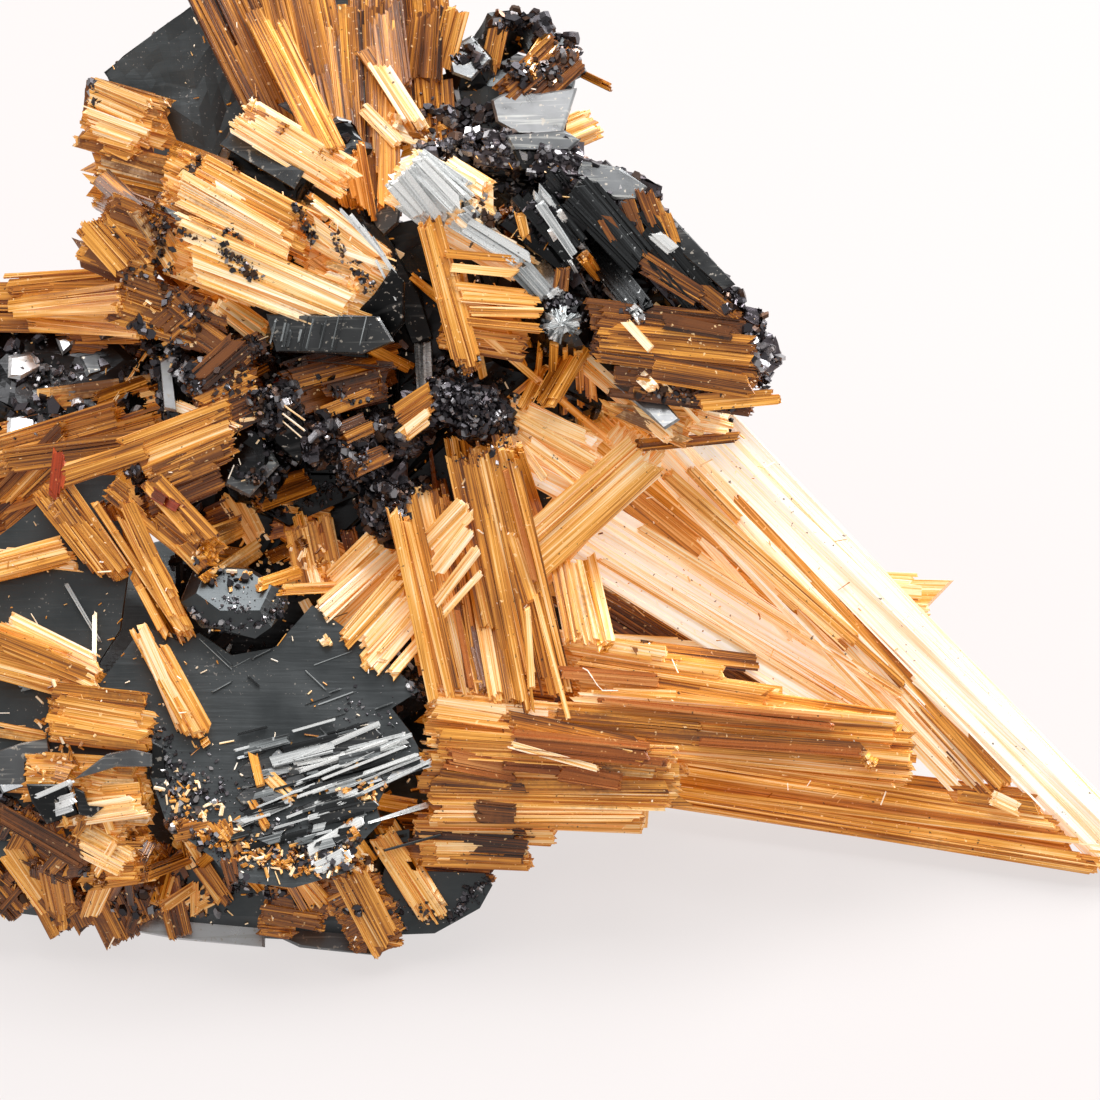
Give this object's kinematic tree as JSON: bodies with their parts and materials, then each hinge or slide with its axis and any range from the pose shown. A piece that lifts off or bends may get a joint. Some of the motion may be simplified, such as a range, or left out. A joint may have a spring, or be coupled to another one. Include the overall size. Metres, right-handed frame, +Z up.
{
  "type": "rutile on hematite specimen",
  "caption": "Natural mineral specimen: sheaves, laths and long blades of golden rutile grown through black platy hematite, standing on a flat hematite plate.",
  "frame": {"origin": "a point of the flat underside of the hematite plate that the specimen stands on", "axes": "+Z up, -Y towards the front that the picture shows, +X to its right along the long blades; metres"},
  "size_m": [0.0553, 0.0385, 0.0282],
  "materials": {
    "rutile_gold": "natural crystal, adamantine, finely striated",
    "rutile_pale": "natural crystal, bright, finely striated",
    "rutile_brown": "natural crystal, brown, striated",
    "hematite": "metallic black, smooth crystal faces with growth lines",
    "hematite_crust": "dark lumpy crust of small sparkling crystals"
  },
  "bodies": {
    "root": {"hematite_back_cluster": "hematite", "hematite_back_crystal": "hematite", "hematite_base": "hematite", "hematite_crust_middle": "hematite_crust", "hematite_crust_right": "hematite_crust", "hematite_front_plate": "hematite", "hematite_heart": "hematite", "hematite_left_plate": "hematite", "hematite_small_crystal": "hematite", "hematite_spray_plate": "hematite", "hematite_star_plate": "hematite", "rutile_back_blade": "rutile_gold", "rutile_back_blocks": "rutile_pale", "rutile_back_cluster_laths": "rutile_brown", "rutile_back_fan": "rutile_brown", "rutile_back_tuft": "rutile_brown", "rutile_between_blade": "rutile_gold", "rutile_bright_sheaf": "rutile_pale", "rutile_broad_blade": "rutile_gold", "rutile_corner_blades": "rutile_gold", "rutile_corner_ridge": "rutile_brown", "rutile_crossing_sheaf": "rutile_pale", "rutile_fan_left": "rutile_gold", "rutile_fan_middle": "rutile_gold", "rutile_fan_right": "rutile_gold", "rutile_front_blocks": "rutile_gold", "rutile_front_strip": "rutile_gold", "rutile_left_crest": "rutile_pale", "rutile_left_end": "rutile_gold", "rutile_left_face": "rutile_pale", "rutile_left_lower": "rutile_gold", "rutile_left_rising": "rutile_brown", "rutile_left_shelf": "rutile_gold", "rutile_left_wedge": "rutile_gold", "rutile_level_bundle": "rutile_gold", "rutile_level_needles": "rutile_gold", "rutile_long_blade": "rutile_pale", "rutile_narrow_blade": "rutile_pale", "rutile_pale_sheaf": "rutile_pale", "rutile_plate_block": "rutile_gold", "rutile_plate_needles": "rutile_gold", "rutile_plate_sheaf_lower": "rutile_gold", "rutile_plate_sheaf_upper": "rutile_gold", "rutile_plate_stubs": "rutile_gold", "rutile_rear_blades": "rutile_pale", "rutile_rear_left": "rutile_brown", "rutile_rear_sheaf": "rutile_gold", "rutile_red_wedge": "rutile_gold", "rutile_right_end": "rutile_brown", "rutile_right_foot": "rutile_pale", "rutile_short_steep": "rutile_gold", "rutile_silver_bundle": "rutile_pale", "rutile_spray_foot": "rutile_gold", "rutile_spray_lower": "rutile_brown", "rutile_spray_upper": "rutile_gold", "rutile_steep_left_sheaf": "rutile_gold", "rutile_steep_needle": "rutile_gold", "rutile_steep_sheaf": "rutile_gold", "rutile_stepped_laths": "rutile_brown", "rutile_table_blade": "rutile_brown"}
  },
  "joints": []
}
